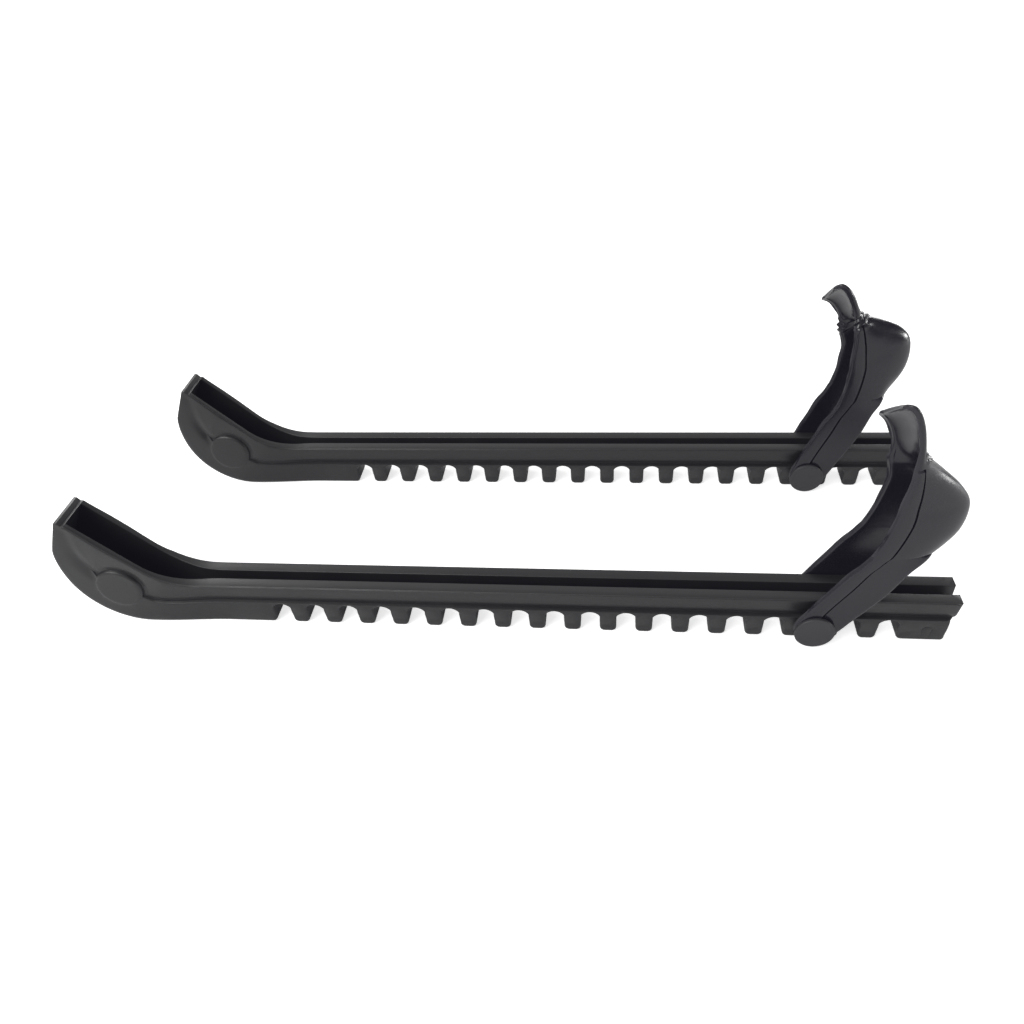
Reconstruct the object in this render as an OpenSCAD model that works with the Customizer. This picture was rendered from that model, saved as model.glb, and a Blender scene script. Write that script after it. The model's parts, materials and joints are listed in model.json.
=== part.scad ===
// Pair of walking guards for ice skate blades.
// Each guard is a comb-toothed rail with a blade channel and a toe cup, and a rubber heel strap
// that is held by a headed cross pin in one of the notches between the teeth.
// X runs along the rails from toe (-X) to heel (+X), Y runs across the pair, Z is up.
// The origin is on the floor, under the middle tooth of guard A.

/* [Comb] */
// Number of teeth under each rail (odd, so that one tooth is over the origin)
tooth_count = 17; // [9:2:19]
// Distance from one tooth to the next
tooth_pitch = 12.5; // [11:0.5:14]
// Length of one tooth along the rail
tooth_len = 5.85; // [5:0.05:6.5]
// Height of the notches between the teeth
notch_h = 9.45; // [8.5:0.05:9.6]
// Rise of the arch that tops a notch
arch_rise = 1.9; // [1:0.1:2.4]
// Radius of the lower corners of a tooth
tooth_tip_r = 1.4; // [0.4:0.1:2]

/* [Rail] */
// Height of the rail
rail_h = 18.9; // [17:0.1:22]
// Width across the top of the rail
rail_top_w = 12.64; // [12:0.04:12.8]
// Width of the lower block that carries the teeth
rail_base_w = 11.3; // [10:0.1:11.6]
// Width of the waist between the top and the lower block
rail_waist_w = 9.3; // [8.5:0.1:9.8]
// Height of the waist
waist_z = 10.2; // [10:0.1:11]
// Width of the blade channel
channel_w = 4.2; // [3.6:0.05:4.4]
// Depth of the blade channel
channel_depth = 7.9; // [6:0.1:8.2]
// Length of the solid block behind the last notch
heel_block_len = 17; // [10:0.1:24]
// How far the lower block stops short of the rail's top at the heel end
heel_step = 1.5; // [0:0.1:2]

/* [Toe cup] */
// Length of the toe end ahead of the first notch
toe_len = 75.3; // [70:0.1:84]
// Height of the toe cup's front lip
toe_h = 48.5; // [44:0.5:52]
// Radius of the rounded nose
nose_r = 27; // [22:0.5:28]
// Width across the toe cup
toe_w = 15.4; // [14.6:0.2:17]
// Thickness of the toe cup's wall
toe_wall = 2.2; // [1.6:0.1:3]
// Radius of the sweep from the toe cup's sloping edge to the rail
toe_sweep_r = 30; // [20:1:36]
// Radius of the raised round pad on each side of the toe
pad_r = 9.2; // [6:0.1:9.6]
// Height that the pad stands out from the side
pad_rise = 0.6; // [0.3:0.1:1]

/* [Cross pin] */
// Notch that holds the pin, counted from the toe
pin_notch = 16; // [10:1:16]
// Radius of the pin's bar
pin_r = 2.2; // [2:0.1:2.4]
// Radius of the pin's round heads
head_r = 6.6; // [5.5:0.1:6.8]
// Thickness of each head
head_t = 1.2; // [1:0.1:2]

/* [Heel strap] */
// Room between the rail's side and the strap's leg
leg_gap = 0.48; // [0.4:0.02:0.8]
// Thickness of the rubber
rubber_t = 2.4; // [2.2:0.1:3.2]
// How far the strap of guard A is swung back from its moulded lean
strap_a_swing = 0; // [-20:1:4]
// How far the strap of guard B is swung back from its moulded lean
strap_b_swing = -9; // [-20:1:4]
// Width of the pull tab at its tip
tab_w = 15; // [13:0.5:18]
// Thickness of the pull tab
tab_t = 3; // [2.4:0.1:3.4]

/* [Pair] */
// Distance between the two guards' centre lines
guard_gap = 84.4; // [60:0.1:120]
// How far guard B lies towards the heel, compared with guard A
guard_shift = 10.9; // [-40:0.1:40]

/* [Hidden] */
$fn = 48;

rail_black = [0.075, 0.075, 0.08];
strap_black = [0.06, 0.06, 0.07];
pin_black = [0.09, 0.09, 0.1];

over = 1;             // how far a cutter runs past the face it cuts
run_gap = 0.05;       // radial clearance of a pin that turns in the rubber
face_gap = 0.1;       // gap between a pin head and the strap
press = 0.03;         // interference of the pressed cap
spigot_r = 1.4;       // thin end of the pin that the cap is pressed on
spigot_len = 1;

// comb
notch_w = tooth_pitch - tooth_len;
notch_count = tooth_count + 1;
comb_half = notch_count / 2 * tooth_pitch;
first_notch_x = -comb_half + tooth_pitch / 2;
comb_start_x = first_notch_x - notch_w / 2;
comb_end_x = -first_notch_x + notch_w / 2;
heel_x = comb_end_x + heel_block_len;

// toe outline in the side view
channel_z = rail_h - channel_depth;
tip_x = comb_start_x - toe_len;                // foremost point of the nose
nose_x = tip_x + nose_r;                       // centre of the nose's arc
nose_end_a = 162;                              // angle where the nose's arc meets the front edge
lip_back = 7.7;                                // how far the lip stands behind the nose
lip_x = tip_x + lip_back;                      // front lip of the toe cup
lip_land = 1.9;                                // flat on top of the front lip
slope_a = 45;                                  // angle of the toe cup's edge
slope_x = lip_x + lip_land + toe_h - rail_h;   // where the slope would meet the rail's top
sweep_x = slope_x + toe_sweep_r * tan(slope_a / 2);
blend_gap = 6;
blend_x = sweep_x + blend_gap;                 // where the toe cup is as slim as the rail
blend_len = 28;
cup_x = blend_x - blend_len;                   // where the toe cup reaches its full width
pad_back = 19.6;                               // how far the pad's centre is behind the nose
pad_x = tip_x + pad_back;
pad_z = 17.2;
outline_n = 16;                                // steps in an outline's arc

// strap, measured from the pin's axis
pin_x = first_notch_x + (pin_notch - 1) * tooth_pitch;
pin_z = notch_h - pin_r - run_gap;
leg_in = rail_top_w / 2 + leg_gap;
leg_out = leg_in + rubber_t;
eye_r = 6.3;          // radius of the strap's lower end round the pin
stern_x = 19;         // where the sides start to close towards the back
stern_len = 20.4;     // length over which they close
neck_z = 68.5;        // top of the neck
neck_x = 18.5;        // middle of the neck
tab_root_r = 2.4;     // rounded root of the pull tab
tab_seat_gap = 0.2;   // room round the tab's root
tab_root_w = 12;      // width of the tab's root
curl_x = 10;          // centre of the tab's forward curl
curl_z = 73;
curl_r = 10;          // outer radius of the curl
curl_end_a = 80;      // angle at which the curl ends, from straight back

function arc(x, z, r, a0, a1, n = outline_n) =
    [for (i = [0:n]) [x + r * cos(a0 + (a1 - a0) * i / n), z + r * sin(a0 + (a1 - a0) * i / n)]];

// Stands an XZ outline up and makes it w wide across Y, centred on the middle plane
module across(w) {
    rotate([90, 0, 0])
        linear_extrude(w, center = true)
            children();
}

// ---------- rail ----------

// Cross-section of the rail with its waist, in YZ
module rail_section() {
    top = rail_top_w / 2;
    base = rail_base_w / 2;
    waist = rail_waist_w / 2;
    edge = 0.5;
    shoulder = 0.8;
    web_h = 2;
    right = [[base - edge, 0], [base, edge], [base, waist_z - shoulder], [waist, waist_z],
             [waist + edge / 2, waist_z + web_h], [top, rail_h - edge], [top - edge, rail_h]];
    left = [for (i = [len(right) - 1:-1:0]) [-right[i][0], right[i][1]]];
    polygon(concat(right, left));
}

// One notch with an arched top, and the rounding of the teeth on both sides of it
module notch() {
    arch_r = (pow(notch_w / 2, 2) + pow(arch_rise, 2)) / (2 * arch_rise);
    intersection() {
        translate([-notch_w / 2, -over])
            square([notch_w, notch_h + over]);
        translate([0, notch_h - arch_r])
            union() {
                circle(arch_r);
                translate([-notch_w, -notch_h - arch_r])
                    square([2 * notch_w, notch_h + arch_r]);
            }
    }
    for (side = [-1, 1]) {
        difference() {
            translate([side * (notch_w + tooth_tip_r) / 2, tooth_tip_r / 2 - over / 2])
                square([tooth_tip_r, tooth_tip_r + over], center = true);
            translate([side * (notch_w / 2 + tooth_tip_r), tooth_tip_r])
                circle(tooth_tip_r);
        }
    }
}

// Side view of the toe end
module toe_outline() {
    polygon(concat(
        [[comb_start_x - over, 0]],
        arc(nose_x, nose_r, nose_r, 270, nose_end_a),
        [[lip_x, toe_h], [lip_x + lip_land, toe_h]],
        arc(sweep_x, rail_h + toe_sweep_r, toe_sweep_r, 270 - slope_a, 270),
        [[comb_start_x - over, rail_h]]));
}

// Plan view of the toe end: full width at the cup, slim where it joins the rail
module toe_plan(half, slim) {
    polygon([[nose_x - nose_r - over, -half], [cup_x, -half], [blend_x, -slim],
             [comb_start_x, -slim], [comb_start_x, slim], [blend_x, slim],
             [cup_x, half], [nose_x - nose_r - over, half]]);
}

// Hollow of the toe cup, open at the top
module toe_hollow() {
    inner_r = nose_r - toe_wall;
    intersection() {
        across(toe_w)
            polygon(concat(
                [[comb_start_x, channel_z]],
                [[nose_x - inner_r * cos(asin((nose_r - channel_z) / inner_r)), channel_z]],
                arc(nose_x, nose_r, inner_r, 180 + asin((nose_r - channel_z) / inner_r), nose_end_a),
                [[lip_x + toe_wall, toe_h + over], [comb_start_x, toe_h + over]]));
        translate([0, 0, channel_z - over])
            linear_extrude(toe_h)
                toe_plan(toe_w / 2 - toe_wall, channel_w / 2);
    }
}

module blade_rail() {
    color(rail_black)
    difference() {
        union() {
            translate([blend_x, 0, 0])
                rotate([90, 0, 90])
                    linear_extrude(heel_x - blend_x)
                        rail_section();
            intersection() {
                across(toe_w)
                    toe_outline();
                linear_extrude(toe_h)
                    toe_plan(toe_w / 2, rail_top_w / 2);
                translate([nose_x - nose_r - over, -toe_w, 0])
                    cube([blend_x - nose_x + nose_r + 2 * over, 2 * toe_w, toe_h]);
            }
            translate([pad_x, 0, pad_z])
                rotate([90, 0, 0])
                    cylinder(h = toe_w + 2 * pad_rise, r = pad_r, center = true);
        }
        translate([blend_x - over, -channel_w / 2, channel_z])
            cube([heel_x - blend_x + 2 * over, channel_w, channel_depth + over]);
        toe_hollow();
        across(toe_w)
            for (i = [0:notch_count - 1])
                translate([first_notch_x + i * tooth_pitch, 0])
                    notch();
        across(toe_w)
            polygon([[heel_x + over, -over], [heel_x - heel_step, -over], [heel_x - heel_step, waist_z],
                     [heel_x, waist_z + heel_step], [heel_x + over, waist_z + heel_step]]);
    }
}

// ---------- cross pin ----------

module pin_bar() {
    cap_face = leg_out + face_gap;
    color(pin_black)
    rotate([90, 0, 0]) {
        translate([0, 0, -cap_face])
            cylinder(h = 2 * cap_face, r = pin_r);
        translate([0, 0, cap_face])
            cylinder(h = head_t, r = head_r);
        translate([0, 0, -cap_face - spigot_len])
            cylinder(h = spigot_len + over, r = spigot_r);
    }
}

module pin_cap() {
    color(pin_black)
    translate([0, leg_out + face_gap, 0])
        rotate([-90, 0, 0])
            difference() {
                cylinder(h = head_t, r = head_r);
                translate([0, 0, -over])
                    cylinder(h = spigot_len + over, r = spigot_r - press);
            }
}

// ---------- heel strap ----------

// Side view of the strap above its round lower ends: legs, rear web, beak and neck
module strap_outline() {
    polygon([[-eye_r * cos(12), eye_r * sin(12)], [-1.8, 11.4], [4.2, 22], [9.6, 29.3], [13.4, 36],
             [15.4, 46], [16, 56], [15.6, neck_z], [21.4, neck_z], [24.6, 64.8], [33.2, 57.1],
             [38.4, 51.4], [39.4, 46.6], [38.2, 39.8], [35.6, 34], [32.6, 30], [24.6, 27.2],
             [22.3, 21.7], [16.1, 10.5], [9.2, 0.7], [eye_r * cos(48), -eye_r * sin(48)]]);
}

// Side view of the room inside the strap, open to the front and below
module strap_room() {
    polygon([[-2 * eye_r, -2 * eye_r], [-2 * eye_r, 61], [24.6, 61], [31.2, 54.8], [36, 49.6],
             [36.8, 46.4], [35.8, 41], [33, 35], [30.2, 31], [30.2, -2 * eye_r]]);
}

// Plan view of the strap: straight sides that close to a pointed stern
module stern_plan(half) {
    length = stern_len - (leg_out - half);
    r = (pow(half, 2) + pow(length, 2)) / (2 * half);
    translate([-2 * eye_r, -half])
        square([stern_x + 2 * eye_r, 2 * half]);
    intersection() {
        translate([stern_x, half - r])
            circle(r, $fn = 96);
        translate([stern_x, r - half])
            circle(r, $fn = 96);
        translate([stern_x - over, -half])
            square([length + 2 * over, 2 * half]);
    }
}

module heel_strap() {
    color(strap_black)
    difference() {
        union() {
            intersection() {
                across(2 * leg_out)
                    strap_outline();
                translate([0, 0, -2 * eye_r])
                    linear_extrude(neck_z + 3 * eye_r)
                        stern_plan(leg_out);
            }
            rotate([90, 0, 0])
                cylinder(h = 2 * leg_out, r = eye_r, center = true);
        }
        intersection() {
            across(2 * leg_in)
                strap_room();
            translate([0, 0, -3 * eye_r])
                linear_extrude(neck_z + 3 * eye_r)
                    stern_plan(leg_in);
        }
        rotate([90, 0, 0])
            cylinder(h = 2 * leg_out + 2 * over, r = pin_r + run_gap, center = true);
        translate([neck_x, 0, neck_z + tab_root_r / 2])
            rotate([90, 0, 0])
                cylinder(h = 2 * leg_out + 2 * over, r = tab_root_r + tab_seat_gap, center = true);
    }
}

// ---------- pull tab ----------

// Side view of the tab: round root, short stem and a curl towards the toe
module tab_outline() {
    root_z = neck_z + tab_root_r / 2;
    stem_x = curl_x + curl_r - tab_t;
    translate([neck_x, root_z])
        circle(tab_root_r);
    translate([stem_x, root_z])
        square([tab_t, curl_z - root_z + over / 10]);
    difference() {
        translate([curl_x, curl_z])
            circle(curl_r);
        translate([curl_x, curl_z])
            circle(curl_r - tab_t);
        reach = 2 * curl_r;
        translate([curl_x, curl_z])
            polygon([[0, 0], [reach, 0], [reach, -reach], [-reach, -reach], [-reach, reach],
                     reach * [cos(curl_end_a), sin(curl_end_a)]]);
    }
}

module pull_tab() {
    color(strap_black)
    intersection() {
        across(tab_w)
            tab_outline();
        rotate([90, 0, 90])
            linear_extrude(2 * neck_x)
                polygon([[-tab_root_w / 2, neck_z - tab_root_r], [tab_root_w / 2, neck_z - tab_root_r],
                         [tab_w / 2, curl_z + over], [tab_w / 2, curl_z + 2 * curl_r],
                         [-tab_w / 2, curl_z + 2 * curl_r], [-tab_w / 2, curl_z + over]]);
    }
}

// ---------- placing ----------

module at_pin(swing) {
    translate([pin_x, 0, pin_z])
        rotate([0, swing, 0])
            children();
}

module guard_b() {
    translate([guard_shift, guard_gap, 0])
        children();
}

module blade_rail_a() { blade_rail(); }
module cross_pin_a() { at_pin(0) pin_bar(); }
module pin_cap_a() { at_pin(0) pin_cap(); }
module heel_strap_a() { at_pin(strap_a_swing) heel_strap(); }
module pull_tab_a() { at_pin(strap_a_swing) pull_tab(); }

module blade_rail_b() { guard_b() blade_rail(); }
module cross_pin_b() { guard_b() at_pin(0) pin_bar(); }
module pin_cap_b() { guard_b() at_pin(0) pin_cap(); }
module heel_strap_b() { guard_b() at_pin(strap_b_swing) heel_strap(); }
module pull_tab_b() { guard_b() at_pin(strap_b_swing) pull_tab(); }

blade_rail_a();
cross_pin_a();
pin_cap_a();
heel_strap_a();
pull_tab_a();
blade_rail_b();
cross_pin_b();
pin_cap_b();
heel_strap_b();
pull_tab_b();
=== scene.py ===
"""Looks for a pair of walking guards for ice skate blades.

Each guard is a moulded rail, a rubber heel strap with its pull tab, and a headed cross pin."""
import json
import math

import bmesh
import bpy
import numpy as np
from mathutils import Matrix, Vector
from mathutils.geometry import delaunay_2d_cdt


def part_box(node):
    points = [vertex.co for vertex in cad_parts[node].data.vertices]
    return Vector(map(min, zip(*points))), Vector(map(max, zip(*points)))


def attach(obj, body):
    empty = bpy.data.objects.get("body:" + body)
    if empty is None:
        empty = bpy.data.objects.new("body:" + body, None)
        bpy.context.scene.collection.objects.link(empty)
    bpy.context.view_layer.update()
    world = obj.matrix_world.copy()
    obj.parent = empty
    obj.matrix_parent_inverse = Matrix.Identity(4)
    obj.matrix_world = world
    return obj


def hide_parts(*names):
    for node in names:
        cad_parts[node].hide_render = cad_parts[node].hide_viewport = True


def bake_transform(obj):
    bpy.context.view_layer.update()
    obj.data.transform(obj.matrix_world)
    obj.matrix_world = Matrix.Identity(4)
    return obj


MM = 0.001

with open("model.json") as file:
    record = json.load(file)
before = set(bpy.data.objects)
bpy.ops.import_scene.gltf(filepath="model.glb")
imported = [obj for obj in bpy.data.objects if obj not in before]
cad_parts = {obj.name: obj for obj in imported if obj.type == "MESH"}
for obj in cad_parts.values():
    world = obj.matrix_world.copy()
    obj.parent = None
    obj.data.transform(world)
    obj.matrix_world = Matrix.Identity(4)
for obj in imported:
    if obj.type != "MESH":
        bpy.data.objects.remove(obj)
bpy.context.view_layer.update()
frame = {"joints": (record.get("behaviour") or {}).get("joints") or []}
joints = {j["name"]: j for j in frame["joints"]}


# ---------- small helpers ----------

def smooth(t):
    """0 to 1 with level ends."""
    t = np.clip(t, 0.0, 1.0)
    return t * t * (3 - 2 * t)


def bump(d, width):
    """1 at d = 0, falling away over about width."""
    return np.exp(-(d / width) ** 2)


def arc(cx, cz, r, start, end, step=9.0):
    """Points of an arc, from angle start to angle end in degrees."""
    count = max(2, int(round(abs(end - start) / step)))
    angles = np.radians(np.linspace(start, end, count + 1))
    return [(cx + r * math.cos(a), cz + r * math.sin(a)) for a in angles]


def line(a, b, step):
    """Points from a up to but not including b."""
    count = max(1, int(round(math.dist(a, b) / step)))
    return [(a[0] + (b[0] - a[0]) * i / count, a[1] + (b[1] - a[1]) * i / count) for i in range(count)]


def path_distance(points, path):
    """Distance of each point to a polyline."""
    best = np.full(len(points), np.inf)
    for a, b in zip(path[:-1], path[1:]):
        d = b - a
        t = np.clip(((points - a) @ d) / max(d @ d, 1e-12), 0, 1)
        best = np.minimum(best, np.linalg.norm(points - a - t[:, None] * d, axis=1))
    return best


def inside(points, polygon):
    """True for each point inside the polygon."""
    x, z = points[:, 0], points[:, 1]
    hit = np.zeros(len(points), bool)
    for (ax, az), (bx, bz) in zip(polygon, np.roll(polygon, -1, axis=0)):
        spans = (az > z) != (bz > z)
        with np.errstate(divide="ignore", invalid="ignore"):
            cross = ax + (z - az) * (bx - ax) / (bz - az)
        hit ^= spans & (x < cross)
    return hit


def offset_path(path, d):
    """The polyline moved sideways by d, to the left of its direction."""
    tangent = np.gradient(path, axis=0)
    tangent /= np.linalg.norm(tangent, axis=1)[:, None]
    return path + d * np.stack([-tangent[:, 1], tangent[:, 0]], axis=1)


def mesh_object(name, verts, faces, place, merge=1e-3, sharp=38):
    """A mesh object from points in millimetres, put in its place by a matrix in metres."""
    mesh = bpy.data.meshes.new(name)
    mesh.from_pydata([tuple(v) for v in verts], [], faces)
    bm = bmesh.new()
    bm.from_mesh(mesh)
    bmesh.ops.remove_doubles(bm, verts=bm.verts, dist=merge)
    bmesh.ops.dissolve_degenerate(bm, edges=bm.edges, dist=merge)
    bmesh.ops.recalc_face_normals(bm, faces=bm.faces)
    bm.to_mesh(mesh)
    bm.free()
    mesh.transform(place @ Matrix.Scale(MM, 4))
    finish_mesh(mesh, sharp)
    obj = bpy.data.objects.new(name, mesh)
    bpy.context.scene.collection.objects.link(obj)
    return obj


def finish_mesh(mesh, sharp):
    """Smooth shading with creases where faces meet at more than sharp degrees."""
    mesh.shade_smooth()
    mesh.set_sharp_from_angle(angle=math.radians(sharp))


# ---------- sizes, in millimetres, in a guard's own frame ----------

rail_lo, rail_hi = (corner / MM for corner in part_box("blade_rail_a"))
TOE_X = rail_lo.x                 # foremost point of the nose
HEEL_X = rail_hi.x
TOE_H = rail_hi.z
PAD_PROUD = 0.6                   # how far the CAD rail's pad stands proud of the toe cup
TOE_HALF = rail_hi.y - PAD_PROUD  # half width of the toe cup without its raised pad

TOOTH_PITCH = 12.5
TOOTH_LEN = 5.85
NOTCHES = 18
NOTCH_H = 9.45
ARCH_RISE = 1.9
TIP_R = 1.7
RAIL_H = 18.9
BASE_HALF = 5.65
TOP_HALF = 6.32
WAIST_Z = 9.85
WAIST_DEPTH = 1.25
CREASE_DEPTH = 0.9                # depth of the same valley on the toe cup
BELLY_IN = 0.3                    # how far the cup's lower side is inside its rim
CHANNEL_HALF = 2.1
CHANNEL_Z = 11.0
HEEL_STEP = 1.5                   # how far the lower block ends before the top
NOSE_R = 27
NOSE_END = 162
LIP_BACK = 7.7                    # lip's distance behind the foremost point
LIP_LAND = 1.9                    # where the rim's slope would reach the lip's height
LIP_RISE = 1.3                    # how far the lip stands above the rim behind it
SWEEP_R = 30
WALL = 2.2
PAD_R = 8.7
PAD_Z = 17.0
PAD_BACK = 19.6
PAD_RISE = 0.3
EDGE_R = 0.3

NOSE_X = TOE_X + NOSE_R
LIP_X = TOE_X + LIP_BACK
SLOPE_X = LIP_X + LIP_LAND + TOE_H - RAIL_H
SWEEP_X = SLOPE_X + SWEEP_R * math.tan(math.radians(22.5))
BLEND_X = SWEEP_X + 6
CUP_X = BLEND_X - 28
PAD_X = TOE_X + PAD_BACK
FIRST_NOTCH = -(NOTCHES - 1) / 2 * TOOTH_PITCH
NOTCH_W = TOOTH_PITCH - TOOTH_LEN
MARK = (HEEL_X - 8, 5.0)          # faint half-round mould mark on the heel block
MARK_R = 1.6
PIN_R = 2.2
BAR_END = 10.2                    # where the pin's bar ends inside its cap


# ---------- rail ----------

def bottom_line():
    """Underside from the nose to the heel: sole, teeth and notches."""
    arch_r = ((NOTCH_W / 2) ** 2 + ARCH_RISE ** 2) / (2 * ARCH_RISE)
    spread = math.degrees(math.asin(NOTCH_W / 2 / arch_r))
    shoulder = NOTCH_H - ARCH_RISE
    points = [(NOSE_X, 0.0)]
    for i in range(NOTCHES):
        mid = FIRST_NOTCH + i * TOOTH_PITCH
        left, right = mid - NOTCH_W / 2, mid + NOTCH_W / 2
        points += line(points[-1], (left - TIP_R, 0), 2.0)[1:]
        points += arc(left - TIP_R, TIP_R, TIP_R, -90, 0, 15)
        points += line((left, TIP_R), (left, shoulder), 1.5)[1:]
        points += arc(mid, NOTCH_H - arch_r, arch_r, 90 + spread, 90 - spread)
        points += line((right, shoulder), (right, TIP_R), 1.5)[1:]
        points += arc(right + TIP_R, TIP_R, TIP_R, 180, 270, 15)
    corner = 1.2
    end = HEEL_X - HEEL_STEP - corner
    points += line(points[-1], (end, 0), 2.0)[1:]
    return points + arc(end, corner, corner, -90, 0, 15)


def top_line(start):
    """Top edge from the heel to a point start along x on the toe's slope."""
    sweep_a = 270 - 45
    points = line((HEEL_X, RAIL_H), (SWEEP_X, RAIL_H), 2.5)
    points += arc(SWEEP_X, RAIL_H + SWEEP_R, SWEEP_R, 270, sweep_a, 3)
    low = points[-1]
    high = (start, RAIL_H + SLOPE_X - start)
    return points + line(low, high, 1.2)[1:] + [high]


def front_line():
    """Front edge from the lip round the nose to the sole."""
    nose = arc(NOSE_X, NOSE_R, NOSE_R, NOSE_END, 270, 3)
    return line((LIP_X, TOE_H), nose[0], 1.0)[1:] + nose[:-1]


def crease_path():
    """Valley that runs down the toe, over the pad and along the whole waist."""
    front = [(LIP_X + 1.4, TOE_H - 4), (LIP_X + 1.1, TOE_H - 10), (LIP_X + 1.3, TOE_H - 14.4),
             (LIP_X + 2.0, TOE_H - 17.7), (LIP_X + 3.2, TOE_H - 21)]
    tail = [(PAD_X + 11.3, PAD_Z - 6), (PAD_X + 16.3, WAIST_Z + 0.25), (PAD_X + 22, WAIST_Z)]
    points = front + arc(PAD_X, PAD_Z, PAD_R, 134, -26, 6) + tail
    points += line(tail[-1], (HEEL_X + 4, WAIST_Z), 2.5)[1:]
    dense = []
    for a, b in zip(points[:-1], points[1:]):
        dense += line(a, b, 0.8)
    return np.array(dense + [points[-1]])


CREASE = crease_path()
BELOW = np.vstack([CREASE, [(HEEL_X + 4, -9), (TOE_X - 9, -9), (TOE_X - 9, TOE_H - 3.5)]])


def toe_share(x):
    """0 on the rail, 1 on the toe cup."""
    return smooth((BLEND_X - x) / (BLEND_X - CUP_X))


def outer_half(points, top):
    """Half width of the outside at each (x, z) of the side view."""
    away = path_distance(points, CREASE)
    side = np.where(inside(points, BELOW), -away, away)
    toe = toe_share(points[:, 0])
    low = BASE_HALF + toe * (TOE_HALF - BELLY_IN - BASE_HALF)
    rim = TOP_HALF + toe * (TOE_HALF - TOP_HALF)
    draft = 0.012 * np.clip(WAIST_Z - points[:, 1], 0, 10) * (1 - toe)
    depth = WAIST_DEPTH + toe * (CREASE_DEPTH - WAIST_DEPTH)
    depth *= 0.25 + 0.75 * smooth((TOE_H - 8 - points[:, 1]) / 18)
    valley = np.interp(side, [-0.3, -0.12, 0.0, 0.28, 1.5, 2.3, 9.2], [0.0, 0.04, 0.2, 1.0, 1.0, 0.66, 0.0])
    soft = smooth((PAD_X - 5.8 - points[:, 0]) / 2.5)
    valley += soft * (1.3 * bump(side - 0.6, 2.4) - valley)
    flare = np.interp(side, [0.7, 9.2], [0.0, 1.0])
    from_pad = np.hypot(points[:, 0] - PAD_X, points[:, 1] - PAD_Z)
    pad = PAD_RISE * smooth((PAD_R - from_pad) / 1.4)
    pad += 0.18 * bump(PAD_R - 0.6 - from_pad, 0.35) * smooth((points[:, 1] - PAD_Z - 1) / 4)
    seam = 0.3 * bump(path_distance(points, top) - 0.6, 0.17)
    from_mark = np.hypot(points[:, 0] - MARK[0], points[:, 1] - MARK[1])
    mark = 0.2 * bump(from_mark - MARK_R, 0.22) * (points[:, 1] > MARK[1])
    return low - draft - valley * depth + flare * (rim - low) + pad * (side < 0) - seam - mark


def inner_half(points):
    """Half width of the channel and of the toe cup's hollow."""
    return CHANNEL_HALF + toe_share(points[:, 0]) * (TOE_HALF - WALL - CHANNEL_HALF)


def sheet(boundary, radius, half, sign, lines, dots):
    """A side surface over a closed outline, with its edge rounded by radius towards sign.

    Returns the points and the faces. The outline's own points come first, in their order."""
    count = len(boundary)
    tangent = np.roll(boundary, -1, axis=0) - np.roll(boundary, 1, axis=0)
    tangent /= np.maximum(np.linalg.norm(tangent, axis=1), 1e-9)[:, None]
    inward = np.stack([-tangent[:, 1], tangent[:, 0]], axis=1)
    rings, faces = [], []
    for angle in np.radians([0, 30, 60, 90]):
        ring = boundary + inward * (radius * (1 - math.cos(angle)))[:, None]
        y = half(ring) - sign * radius * (1 - math.sin(angle))
        rings.append(np.column_stack([ring[:, 0], y, ring[:, 1]]))
    for k in range(len(rings) - 1):
        for i in range(count):
            j = (i + 1) % count
            faces.append((k * count + i, k * count + j, (k + 1) * count + j, (k + 1) * count + i))
    last = rings[-1][:, [0, 2]]
    room = 0.12
    coords = [tuple(p) for p in last]
    edges = []
    for path in lines:
        free = inside(path, last) & (path_distance(path, np.vstack([last, last[:1]])) > room)
        for i, p in enumerate(path):
            if free[i]:
                coords.append(tuple(p))
                if i and free[i - 1]:
                    edges.append((len(coords) - 2, len(coords) - 1))
    if len(dots):
        free = inside(dots, last) & (path_distance(dots, np.vstack([last, last[:1]])) > 4 * room)
        coords += [tuple(p) for p in dots[free]]
    found, _, triangles, origin, _, _ = delaunay_2d_cdt(
        [Vector(c) for c in coords], edges, [list(range(count))], 1, 1e-6)
    base = len(rings) * count
    flat = np.array([tuple(v) for v in found])
    filled = np.column_stack([flat[:, 0], half(flat), flat[:, 1]])
    index = [base + i for i in range(len(found))]
    for i, sources in enumerate(origin):
        for s in sources:
            if s < count:
                index[i] = (len(rings) - 1) * count + s
    faces += [tuple(index[v] for v in t) for t in triangles]
    return np.vstack(rings + [filled]), faces


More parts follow.
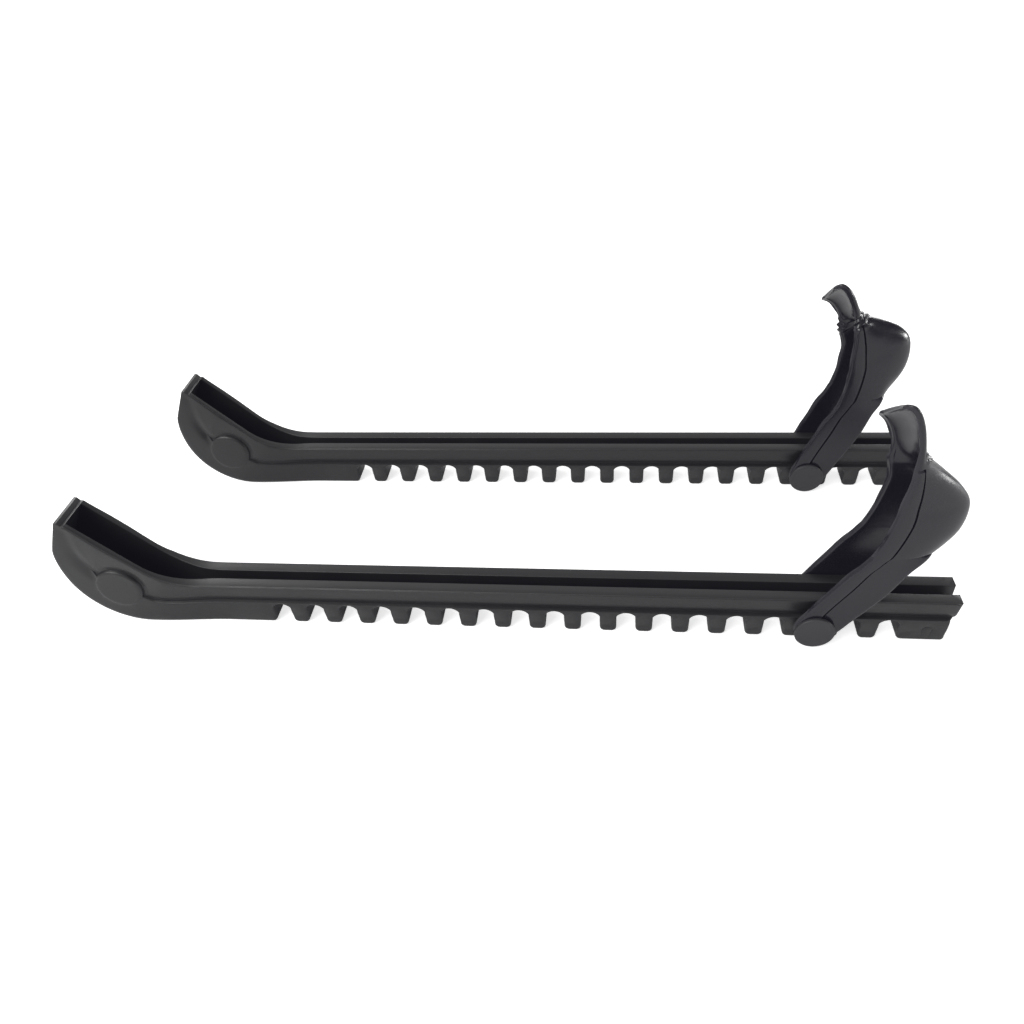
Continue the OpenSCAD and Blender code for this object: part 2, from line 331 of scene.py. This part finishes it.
def rail_mesh():
    """The whole moulding as points and faces."""
    inner_r = NOSE_R - WALL
    rim_end = LIP_X + LIP_LAND + LIP_RISE
    top = top_line(rim_end)
    over_lip = [(LIP_X + 2.2, TOE_H - LIP_RISE), (LIP_X + 1.1, TOE_H), (LIP_X, TOE_H)]
    bottom = bottom_line()
    step_low = (HEEL_X - HEEL_STEP, WAIST_Z)
    step_high = (HEEL_X, CHANNEL_Z)
    end = line(bottom[-1], step_low, 1.5)[1:] + line(step_low, step_high, 0.8)
    flange = line(step_high, (HEEL_X, RAIL_H), 1.2)
    outline = np.array(bottom + end + flange + top + over_lip + front_line())
    floor_level = len(bottom) + len(end)
    first_top = floor_level + len(flange)
    last_top = first_top + len(top) - 1
    last_lip = last_top + len(over_lip)
    top_path = np.array(top + over_lip)

    # edge radius: soft round the nose and at the foot of the teeth, crisp elsewhere
    toe = toe_share(outline[:, 0])
    radius = EDGE_R + 1.5 * toe * smooth((TOE_H - 8 - outline[:, 1]) / 18)
    radius += 0.7 * (1 - toe) * smooth((6.5 - outline[:, 1]) / 4.5)
    radius[first_top:last_lip + 1] = EDGE_R

    rows = [offset_path(CREASE, d) for d in (-0.3, -0.12, 0.02, 0.28, 0.7, 1.5, 2.3, 3.6, 5.4)]
    rows += [offset_path(np.array(top), d) for d in (0.42, 0.52, 0.6, 0.68, 0.8, 1.3)]
    rows += [np.array(arc(PAD_X, PAD_Z, PAD_R - d, -120, 240, 6)) for d in (0.2, 0.45, 0.6, 0.8, 1.4)]
    rows += [np.array(arc(*MARK, MARK_R + d, 5, 175, 12)) for d in (-0.4, -0.15, 0, 0.15, 0.4)]
    grid_x, grid_z = np.meshgrid(np.arange(TOE_X, BLEND_X, 1.1), np.arange(0, TOE_H, 1.1))
    dots = np.column_stack([grid_x.ravel(), grid_z.ravel()])
    verts, faces = sheet(outline, radius, lambda p: outer_half(p, top_path), 1, rows, dots)

    # the hollow's side: floor, inner nose, inner front, top edge
    floor_start = NOSE_X - math.sqrt(inner_r ** 2 - (NOSE_R - CHANNEL_Z) ** 2)
    floor_a = 180 + math.degrees(math.asin((NOSE_R - CHANNEL_Z) / inner_r))
    inner_nose = arc(NOSE_X, NOSE_R, inner_r, NOSE_END, floor_a, 5)
    inner_front = line(top[-1], inner_nose[0], 1.0)[1:] + inner_nose[:-1]
    floor = line((floor_start, CHANNEL_Z), (HEEL_X, CHANNEL_Z), 2.5)
    inner_end = line((HEEL_X, CHANNEL_Z), (HEEL_X, RAIL_H), 1.5)
    hollow = np.array(floor + inner_end + top + inner_front)
    inner_first_top = len(floor) + len(inner_end)
    inner_radius = np.zeros(len(hollow))
    inner_radius[inner_first_top + 1:inner_first_top + len(top) - 1] = EDGE_R
    inner_rows = [offset_path(top_path, 0.8), offset_path(top_path, 3.0)]
    inner_verts, inner_faces = sheet(hollow, inner_radius, inner_half, -1, inner_rows, dots[::3])

    points, polygons = [], []

    def add(part, part_faces):
        start = sum(len(p) for p in points)
        points.append(part)
        polygons.extend(tuple(start + i for i in f) for f in part_faces)
        return start

    flip = np.array([1, -1, 1])
    outer_at = [add(verts * f, faces) for f in (np.ones(3), flip)]
    inner_at = [add(inner_verts * f, inner_faces) for f in (np.ones(3), flip)]
    count = len(outline)
    inner_count = len(hollow)

    # belt across the thickness: toe, sole, teeth and the heel end up to the channel's floor
    floor_end = len(floor)
    for i in range(count):
        j = (i + 1) % count
        if floor_level <= i < last_lip:
            continue
        belt = [outer_at[0] + i, outer_at[0] + j, outer_at[1] + j, outer_at[1] + i]
        if j == floor_level:
            belt[2:2] = [inner_at[0] + floor_end, inner_at[1] + floor_end]
        polygons.append(tuple(belt))

    # top faces of both walls
    for i in range(len(top) - 1):
        a, b = first_top + i, first_top + i + 1
        c, d = inner_first_top + i + 1, inner_first_top + i
        for o, n in zip(outer_at, inner_at):
            polygons.append((o + a, o + b, n + c, n + d))

    # front wall's top: one strip from side to side
    tip = inner_first_top + len(top) - 1
    polygons.append((outer_at[0] + last_top, inner_at[0] + tip, inner_at[1] + tip, outer_at[1] + last_top,
                     outer_at[1] + last_top + 1, outer_at[0] + last_top + 1))
    for i in range(last_top + 1, last_lip):
        polygons.append((outer_at[0] + i, outer_at[0] + i + 1, outer_at[1] + i + 1, outer_at[1] + i))

    # floor, inner nose and inner front, from side to side
    for i in range(inner_count):
        j = (i + 1) % inner_count
        if len(floor) <= i < tip:
            continue
        polygons.append((inner_at[0] + i, inner_at[0] + j, inner_at[1] + j, inner_at[1] + i))

    # heel end of both walls, above the floor
    for o, n in zip(outer_at, inner_at):
        face = [o + i for i in range(floor_level, first_top + 1)]
        face += [n + i for i in range(inner_first_top, floor_end - 1, -1)]
        polygons.append(tuple(face))
    return np.vstack(points), polygons


# ---------- heel strap with its pull tab ----------

# Stations up the strap, from the eye round the pin to the tip of the pull tab, relative to the pin:
# front edge x, z; rear edge x, z; half width at the front and at the rear
STATIONS = [
    (-2.6, -5.75, 0.9, -6.25, 8, 8),
    (-4.6, -4.3, 3.2, -5.5, 8, 8),
    (-6.2, 1.3, 7.6, -1.6, 8, 8),
    (-3.6, 7.4, 12.4, 5.4, 8, 8),
    (-0.4, 13.3, 16.4, 11.0, 8, 8),
    (3.8, 20.4, 20.6, 17.6, 8, 8),
    (7.4, 26.4, 25.0, 26.4, 8, 7.8),
    (9.6, 29.2, 28.5, 30.2, 8, 6.9),
    (11.3, 31.9, 31.0, 32.4, 8, 4.8),
    (12.8, 34.6, 32.8, 33.4, 8, 0),
    (14.8, 41.5, 37.8, 40.4, 8, 0),
    (16.2, 49.5, 38.4, 48.8, 8, 0),
    (16.6, 55.6, 34.4, 55.2, 7.8, 0),
    (16.4, 60.2, 28.4, 60.8, 7.5, 0),
    (16.2, 63.4, 23.6, 64.8, 7.2, 0),
    (16.3, 66.3, 20.4, 67.6, 7, 0),
    (15.9, 70.6, 18.4, 71.4, 7, 0),
    (14.6, 75.2, 16.7, 76.2, 7, 0),
    (13.0, 78.7, 14.7, 79.9, 7, 0),
    (11.4, 80.8, 12.7, 82.0, 6.8, 0),
    (10.2, 81.5, 11.1, 82.6, 6.1, 0),
    (9.4, 81.7, 10.1, 82.7, 4.8, 0),
]
BEND_AT = [30, 37, 44, 50, 62, 68]
BEND = [3.0, 2.3, 1.85, 1.5, 1.45, 1.85]    # squareness of the bend round the back, 2 for an ellipse
STERN = 9                 # first station whose rear edge lies on the middle plane
BEAK_DROOP = 2.3          # how far the web's lower edge sags at the middle plane
NECK_Z = 63.0             # where the rim's band ends in a step
RIM_AT = [0, 30, 47, 55, 64, 69]
RIM_WIDTH = [5.0, 4.9, 5.1, 4.1, 1.7, 1.7]
GROOVE_W = 0.95
MID_T = 1.2               # from the middle surface to the inner face
RIM_T = 1.35              # from the middle surface to the rim's face
WEB_T = 0.75
GROOVE_T = 0.0
FLASH = 0.35              # thin ridge left along the front edge by the mould
TAB_T = 0.7
FILLET = 1.4              # extra rubber inside the corner between web and tab
EDGE_TURN = 1.3
FULL_ROW = 9              # shorter rows have their bands narrowed
LEAN_FORWARD = 0.2        # lasting twist: forward per mm across, above the neck
LEAN_DOWN = 0.4           # the same, downwards
LEAN_DOWN_TAB = 0.42      # and as much again at the tab's top
SLUMP_X = 26              # guard B's strap: behind this its web is pushed up and drawn in
SLUMP_UP = 0.3            # upwards per mm behind SLUMP_X
SLUMP_IN = 2.6
RING_PITCH = 2.5          # rings of the crumpled neck
RING_DEPTH = 0.5
RING_Z = 65
TAB_SHRINK = 0.07


def catmull(values, count):
    """Smooth curve through the rows of values, count steps between each two."""
    padded = np.vstack([2 * values[0] - values[1], values, 2 * values[-1] - values[-2]])
    out = []
    for i in range(1, len(padded) - 2):
        a, b, c, d = padded[i - 1:i + 3]
        for t in np.arange(count) / count:
            out.append(0.5 * (2 * b + (c - a) * t + (2 * a - 5 * b + 4 * c - d) * t ** 2
                              + (3 * b - a - 3 * c + d) * t ** 3))
    return np.array(out + [values[-1]])


def columns(length, rim):
    """Distances from the front edge at which a row has points; rim is the width of the rim's band."""
    band = 0.9 + (rim - 0.9) * np.array([0, 0.25, 0.5, 0.75])
    wall = np.array([-0.05, 0.05, 0.15])
    groove = rim + np.concatenate([wall, GROOVE_W - wall[::-1], [GROOVE_W + 0.5]])
    front = np.concatenate([[0, 0.06, 0.18, 0.36, 0.6], band, groove])
    back = np.array([2.4, 1.7, 1.15, 0.72, 0.4, 0.18, 0.05, 0])
    scale = min(1, length / FULL_ROW)
    front = front * scale
    back = length - back * scale
    return np.concatenate([front, np.linspace(front[-1], back[0], 18)[1:-1], back])


def strap_sheet(steps=5):
    """Middle surface of one half of the strap.

    Returns rows by columns of points, their distances from the front edge, the rim's width in each row
    and the first row that reaches the middle plane."""
    stations = catmull(np.array(STATIONS, float), steps)
    turned = STERN * steps
    rows, along, rims = [], [], []
    for i, (fx, fz, rx, rz, w_front, w_rear) in enumerate(stations):
        w_rear = 0 if i >= turned else max(w_rear, 0)
        u = 1 - (1 - np.linspace(0, 1, 160)) ** 2
        bend = np.interp(rz, BEND_AT, BEND)
        cut = max(0, 1 - (w_rear / w_front) ** bend) ** (1 / bend)
        y = w_front * np.clip(1 - (u * cut) ** bend, 0, 1) ** (1 / bend)
        droop = BEAK_DROOP * (1 - smooth((rz - STATIONS[STERN][3]) / 7)) * bump(y, 1.9)
        curve = np.column_stack([fx + (rx - fx) * u, y, fz + (rz - fz) * u - droop])
        run = np.concatenate([[0], np.cumsum(np.linalg.norm(np.diff(curve, axis=0), axis=1))])
        rim = np.interp(fz, RIM_AT, RIM_WIDTH)
        s = columns(run[-1], rim)
        rows.append(np.column_stack([np.interp(s, run, curve[:, k]) for k in range(3)]))
        along.append(s)
        rims.append(rim)
    return np.array(rows), np.array(along), np.array(rims)[:, None], turned


def thicknesses(middle, along, rims):
    """How far the outer and the inner face stand off the middle surface."""
    height = middle[:, :, 2]
    s = along / np.minimum(1, along[:, -1:] / FULL_ROW)
    from_back = along[:, -1:] - along
    groove = (s > rims) & (s < rims + GROOVE_W)
    outer_strap = np.where(s < rims, RIM_T, np.where(groove, GROOVE_T, WEB_T))
    rib = np.maximum(0, np.sin((height - NECK_Z) * 2 * np.pi / 2.1))
    rib *= (height > NECK_Z) & (height < NECK_Z + 6.3)
    outer_tab = TAB_T + 0.15 * (s < rims) + 0.6 * rib * smooth((7 - from_back) / 1.5)
    inner_tab = TAB_T + 0.12 * (s < 1.4)
    fillet = FILLET * bump(height - 60.5, 3.5) * smooth((5 - from_back) / 5)
    on_strap = smooth((NECK_Z - height[:, :1]) / 0.4 + 0.5)
    outer = on_strap * outer_strap + (1 - on_strap) * outer_tab
    on_inside = smooth((NECK_Z - height[:, :1]) / 5 + 0.5)
    inner = on_inside * MID_T + (1 - on_inside) * inner_tab + fillet
    return outer, inner


def strap_half():
    """Outer and inner points of one half, with rounded free edges."""
    middle, along, rims, turned = strap_sheet()
    normal = np.cross(np.gradient(middle, axis=1), np.gradient(middle, axis=0))
    normal /= np.maximum(np.linalg.norm(normal, axis=2, keepdims=True), 1e-9)
    if normal[10, 5, 1] < 0:
        normal = -normal
    normal[turned + 1:, -1, 1] = 0
    normal /= np.maximum(np.linalg.norm(normal, axis=2, keepdims=True), 1e-9)

    free = [middle[:, 0], middle[0], middle[:turned + 1, -1], middle[-1]]
    flat = middle.reshape(-1, 3)
    gap = np.min([path_distance(flat, path) for path in free], axis=0).reshape(along.shape)
    turn = np.clip(1 - gap / EDGE_TURN, 0, 1)
    edge = (1 - turn ** 2.4) ** (1 / 2.4)
    outer, inner = thicknesses(middle, along, rims)
    forward = middle[:, 0] - middle[:, 4]
    wave = FLASH + 0.22 * np.sin(middle[:, 0, 2] / 2.3) * np.sin(middle[:, 0, 2] / 5.1)
    middle[:, 0] += (wave / np.linalg.norm(forward, axis=1))[:, None] * forward
    out = middle + normal * (outer * edge)[:, :, None]
    into = middle - normal * (inner * edge)[:, :, None]
    return out, into


def lean(points):
    """The lasting twist of neck and pull tab: the far side hangs lower and further forward."""
    x, y, z = points.T
    forward = LEAN_FORWARD * smooth((z - 52) / 12)
    down = LEAN_DOWN * smooth((z - 50) / 17) + LEAN_DOWN_TAB * np.clip((z - 66) / 16, 0, 1)
    return np.column_stack([x - forward * y, y, z - down * y])


def fold(points):
    """The slump of guard B's strap: neck crumpled in rings, beak pushed up, web's lower edge drawn in."""
    x, y, z = points.T
    up = SLUMP_UP * (x - SLUMP_X) * smooth((z - 42) / 14)
    inward = SLUMP_IN * smooth((x - SLUMP_X) / 9) * (1 - smooth((z - 32) / 20))
    level = z + 0.4 * y - 0.35 * (x - 16)
    ring = RING_DEPTH * np.sin(level * 2 * np.pi / RING_PITCH) * bump(level - RING_Z, 3.2)
    shrink = TAB_SHRINK * np.clip(z - 66, 0, None)
    return np.column_stack([x - inward - ring * bump(x - 15, 3), y * (1 + ring / 8), z + up - shrink])


def strap_mesh():
    """The whole rubber moulding as points and faces, relative to the pin."""
    out, into = strap_half()
    rows, cols = out.shape[:2]
    points, faces = [], []
    for side in (1, -1):
        for surface in (out, into):
            start = sum(len(p) for p in points)
            points.append(surface.reshape(-1, 3) * np.array([1, side, 1]))
            for i in range(rows - 1):
                for j in range(cols - 1):
                    a = start + i * cols + j
                    faces.append((a, a + 1, a + cols + 1, a + cols))
    return lean(np.vstack(points)), faces


# ---------- cross pin ----------

def lathe(profile, segments=64):
    """A turned solid about the y axis; the profile is (radius, y) from axis to axis."""
    verts, faces = [], []
    for r, y in profile:
        for k in range(segments):
            a = 2 * math.pi * k / segments
            verts.append((r * math.cos(a), y, r * math.sin(a)))
    for start in range(0, segments * (len(profile) - 1), segments):
        for k in range(segments):
            j = (k + 1) % segments
            faces.append((start + k, start + j, start + segments + j, start + segments + k))
    return np.array(verts), faces


def head_profile(inner_y, outer_y, r, side, bore=0.0):
    """Half section of a flat head: rounded rim and a faint dish in its face."""
    y0, y1 = side * inner_y, side * outer_y
    soft = 0.35
    rim = [(r - soft + soft * math.sin(a), y1 - side * soft * (1 - math.cos(a)))
           for a in np.radians([0, 25, 50, 75, 90])]
    face = [(0, y1 - side * 0.12), (r * 0.45, y1 - side * 0.1), (r * 0.8, y1 - side * 0.02)]
    return [(bore, y0), (r - 0.2, y0), (r, y0 + side * 0.2)] + rim[::-1] + face[::-1]


# ---------- materials ----------

def node_material(name):
    """An empty material's node tree with its shader, and a helper that adds nodes."""
    mat = bpy.data.materials.new(name)
    mat.use_nodes = True
    tree = mat.node_tree
    shader = tree.nodes["Principled BSDF"]

    def add(kind, inputs=None, **settings):
        node = tree.nodes.new(kind)
        for key, value in settings.items():
            setattr(node, key, value)
        for key, value in (inputs or {}).items():
            if isinstance(value, bpy.types.NodeSocket):
                tree.links.new(value, node.inputs[key])
            else:
                node.inputs[key].default_value = value
        return node

    def link(socket, key):
        tree.links.new(socket, shader.inputs[key])

    return mat, add, link, shader


def moulded(name, dark, light, rough, grain, bump_size, highlight_tint, speck):
    """Black moulded plastic or rubber: mottled colour, fine grain, soft flow marks and a painted highlight
    that lightens the convex edges.
    """
    mat, add, link, shader = node_material(name)
    place = add("ShaderNodeTexCoord").outputs["Object"]
    cloud = add("ShaderNodeTexNoise", {"Vector": place, "Scale": 55, "Detail": 4, "Roughness": 0.6})
    fine = add("ShaderNodeTexNoise", {"Vector": place, "Scale": grain, "Detail": 3, "Roughness": 0.65})
    flow = add("ShaderNodeMapping", {"Vector": place, "Scale": (18, 160, 160)})
    streak = add("ShaderNodeTexNoise", {"Vector": flow.outputs["Vector"], "Scale": 1.0, "Detail": 3})
    # painted highlight: convex edges, found by pointiness, are lightened towards the highlight tint
    edge_pointiness = add("ShaderNodeNewGeometry").outputs["Pointiness"]
    edge = add("ShaderNodeMapRange", {"Value": edge_pointiness, "From Min": 0.515, "From Max": 0.57})
    mix_a = add("ShaderNodeMix", {"Factor": cloud.outputs["Fac"]}, data_type="RGBA")
    mix_a.inputs["A"].default_value = (*dark, 1)
    mix_a.inputs["B"].default_value = (*light, 1)
    edge_highlight = add("ShaderNodeMath", {0: edge.outputs["Result"], 1: 0.35}, operation="MULTIPLY")
    mix_b = add("ShaderNodeMix", {"Factor": edge_highlight.outputs[0], "A": mix_a.outputs["Result"]}, data_type="RGBA")
    mix_b.inputs["B"].default_value = (*highlight_tint, 1)
    link(mix_b.outputs["Result"], "Base Color")
    base = add("ShaderNodeMapRange", {"Value": cloud.outputs["Fac"], "From Min": 0.3, "From Max": 0.7,
                                      "To Min": rough - 0.05, "To Max": rough + 0.06})
    dust = add("ShaderNodeMapRange", {"Value": fine.outputs["Fac"], "From Min": 0.35, "From Max": 0.75,
                                      "To Min": -speck, "To Max": speck})
    total = add("ShaderNodeMath", {0: base.outputs["Result"], 1: dust.outputs["Result"]}, operation="ADD")
    link(total.outputs[0], "Roughness")
    grain_bump = add("ShaderNodeBump", {"Height": fine.outputs["Fac"], "Strength": 0.35,
                                        "Distance": bump_size})
    flow_bump = add("ShaderNodeBump", {"Height": streak.outputs["Fac"], "Strength": 0.25,
                                       "Distance": bump_size * 4, "Normal": grain_bump.outputs["Normal"]})
    link(flow_bump.outputs["Normal"], "Normal")
    shader.inputs["IOR"].default_value = 1.5
    return mat


rail_plastic = moulded("rail_plastic_look", dark=(0.0075, 0.0075, 0.0077), light=(0.0125, 0.0124, 0.0122),
                       rough=0.42, grain=2600, bump_size=0.00003, highlight_tint=(0.05, 0.05, 0.05), speck=0.07)
strap_rubber = moulded("strap_rubber_look", dark=(0.0058, 0.0056, 0.0085), light=(0.0096, 0.0092, 0.0144),
                       rough=0.23, grain=3400, bump_size=0.00002, highlight_tint=(0.045, 0.045, 0.05),
                       speck=0.05)
pin_plastic = moulded("pin_plastic_look", dark=(0.022, 0.022, 0.024), light=(0.031, 0.031, 0.034),
                      rough=0.5, grain=3000, bump_size=0.00003, highlight_tint=(0.05, 0.05, 0.05), speck=0.06)


# ---------- put the pieces in place ----------

def joint_point(name):
    """A joint's origin in metres."""
    return Vector(joints[name]["pos_m"])


def dress(obj, material, slot, *nodes):
    """Material and the CAD nodes that the piece stands for; the slot argument is not used."""
    obj.data.materials.append(material)
    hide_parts(*nodes)


# strap B rests further forward than strap A, by as much as its swing's limits differ
swing_limit = {k: joints["strap_swing_" + k]["range_deg"][1] for k in "ab"}
rail_points, rail_faces = rail_mesh()
strap_points, strap_faces = strap_mesh()
head_r = (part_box("pin_cap_a")[1].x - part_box("pin_cap_a")[0].x) / MM / 2
for k in "ab":
    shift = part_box("blade_rail_" + k)[0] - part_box("blade_rail_a")[0]
    place = Matrix.Translation(shift)
    pin_at = Matrix.Translation(joint_point("strap_swing_" + k))
    swing = Matrix.Rotation(math.radians(swing_limit["a"] - swing_limit[k]), 4, "Y")

    rail = mesh_object("rail_" + k, rail_points, rail_faces, place)
    dress(rail, rail_plastic, "rail_plastic", "blade_rail_" + k)
    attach(rail, "guard_" + k)

    shape = fold(strap_points) if k == "b" else strap_points
    strap = mesh_object("heel_strap_and_tab_" + k, shape, strap_faces, pin_at @ swing)
    dress(strap, strap_rubber, "strap_rubber", "heel_strap_" + k, "pull_tab_" + k)
    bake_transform(strap)

    seat = (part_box("pin_cap_" + k)[0].y - pin_at.translation.y) / MM
    face = (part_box("pin_cap_" + k)[1].y - pin_at.translation.y) / MM
    far_side = 1 if seat > 0 else -1
    seat, face = sorted((abs(seat), abs(face)))
    head = head_profile(seat, face, head_r, -far_side)
    bar = [(0, far_side * BAR_END), (PIN_R, far_side * BAR_END), (PIN_R, -far_side * seat)]
    pin = mesh_object("cross_pin_look_" + k, *lathe(bar + head[1:]), pin_at)
    dress(pin, pin_plastic, "pin_plastic", "cross_pin_" + k)
    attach(pin, "pin_" + k)
    cap = mesh_object("pin_cap_look_" + k, *lathe(head_profile(seat, face, head_r, far_side)), pin_at)
    dress(cap, pin_plastic, "pin_plastic", "pin_cap_" + k)
    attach(cap, "pin_" + k)


# ---------- floor, light and camera ----------

ROOM_GLOW = 0.55                  # how strongly the white room lights the pieces
ROOM_DARK = 0.1                   # the same for its unlit side, beyond the heel end
ROOM_SEEN = 1.1                   # the same as the camera sees it
FLOOR_HALF = 30                   # metres
FLOOR_GAP = 0.0002                # keeps the floor just clear of the soles
FLOOR_LIFT = 0.66                 # extra brightness of the floor in the picture
LENS_HAZE = (0.005, 0.0048, 0.007)    # pale veil over the black parts in the picture
CAMERA_LENS = 29.35
CAMERA_AT = (0.014275, -0.20602, 0.22436)
CAMERA_TURN = (39.861, -9.128, -5.187)    # degrees down, to the right and rolled


def white(name, value):
    """Plain pale backdrop with a very faint unevenness, brighter to the camera than to the pieces."""
    mat, add, link, shader = node_material(name)
    place = add("ShaderNodeTexCoord").outputs["Object"]
    noise = add("ShaderNodeTexNoise", {"Vector": place, "Scale": 6, "Detail": 2})
    tone = add("ShaderNodeMapRange",
               {"Value": noise.outputs["Fac"], "To Min": value - 0.01, "To Max": value})
    link(tone.outputs["Result"], "Base Color")
    seen = add("ShaderNodeLightPath").outputs["Is Camera Ray"]
    lift = add("ShaderNodeMath", {0: seen, 1: FLOOR_LIFT}, operation="MULTIPLY")
    link(lift.outputs[0], "Emission Strength")
    shader.inputs["Emission Color"].default_value = (1, 1, 1, 1)
    shader.inputs["Roughness"].default_value = 0.9
    return mat


def area_light(name, at, aim, size, power):
    """A rectangular soft light aimed at a point, hidden from the camera."""
    data = bpy.data.lights.new(name, "AREA")
    data.shape = "RECTANGLE"
    data.size, data.size_y = size
    data.energy = power
    lamp = bpy.data.objects.new(name, data)
    lamp.location = at
    lamp.rotation_euler = (Vector(aim) - Vector(at)).to_track_quat("-Z", "Y").to_euler()
    lamp.visible_camera = False
    bpy.context.scene.collection.objects.link(lamp)


def studio_room():
    """A white room whose side beyond the heel end is unlit; the camera sees it plain white."""
    world = bpy.data.worlds.new("studio")
    world.use_nodes = True
    tree = world.node_tree
    sky = tree.nodes["Background"]
    ray = tree.nodes.new("ShaderNodeLightPath")
    glow = tree.nodes.new("ShaderNodeMapRange")
    way = tree.nodes.new("ShaderNodeTexCoord")
    heelward = tree.nodes.new("ShaderNodeSeparateXYZ")
    shade = tree.nodes.new("ShaderNodeMapRange")
    shade.inputs["From Min"].default_value = 0.4
    shade.inputs["From Max"].default_value = 0.8
    shade.inputs["To Min"].default_value = ROOM_GLOW
    shade.inputs["To Max"].default_value = ROOM_DARK
    glow.inputs["To Max"].default_value = ROOM_SEEN
    sky.inputs["Color"].default_value = (1, 1, 1, 1)
    tree.links.new(way.outputs["Generated"], heelward.inputs[0])
    tree.links.new(heelward.outputs["X"], shade.inputs["Value"])
    tree.links.new(shade.outputs["Result"], glow.inputs["To Min"])
    tree.links.new(ray.outputs["Is Camera Ray"], glow.inputs["Value"])
    tree.links.new(glow.outputs["Result"], sky.inputs["Strength"])
    bpy.context.scene.world = world


floor_mesh = bpy.data.meshes.new("floor")
floor_mesh.from_pydata([(-FLOOR_HALF, -FLOOR_HALF, 0), (FLOOR_HALF, -FLOOR_HALF, 0),
                        (FLOOR_HALF, FLOOR_HALF, 0), (-FLOOR_HALF, FLOOR_HALF, 0)], [], [(0, 1, 2, 3)])
floor = bpy.data.objects.new("floor", floor_mesh)
floor.location.z = -FLOOR_GAP
floor_mesh.materials.append(white("floor_white", 0.95))
bpy.context.scene.collection.objects.link(floor)

studio_room()
area_light("key", (-0.75, -0.75, 0.95), (-0.03, 0, 0.02), (0.9, 0.7), 13)
area_light("back", (0.85, 1.05, 0.14), (0.05, 0, 0.03), (0.7, 0.2), 3)
area_light("side", (0.85, 0.1, 0.14), (0.11, 0.02, 0.06), (0.24, 0.1), 2.0)
area_light("tab", (-0.75, 0.62, 0.45), (0.09, 0.04, 0.08), (0.4, 0.3), 2.5)

view = bpy.context.scene.view_settings
view.view_transform = "Standard"
view.use_curve_mapping = True
view.curve_mapping.black_level = [-haze for haze in LENS_HAZE]

camera_data = bpy.data.cameras.new("camera")
camera_data.sensor_width = 36
camera_data.lens = CAMERA_LENS
camera = bpy.data.objects.new("camera", camera_data)
pitch, yaw, roll = (math.radians(a) for a in CAMERA_TURN)
look = Vector((math.sin(yaw) * math.cos(pitch), math.cos(yaw) * math.cos(pitch), -math.sin(pitch)))
level = Vector((math.cos(yaw), -math.sin(yaw), 0))
upward = level.cross(look)
right = level * math.cos(roll) + upward * math.sin(roll)
above = -level * math.sin(roll) + upward * math.cos(roll)
turn = Matrix((right, above, -look)).transposed()
camera.matrix_world = Matrix.Translation(CAMERA_AT) @ turn.to_4x4()
bpy.context.scene.collection.objects.link(camera)
bpy.context.scene.camera = camera
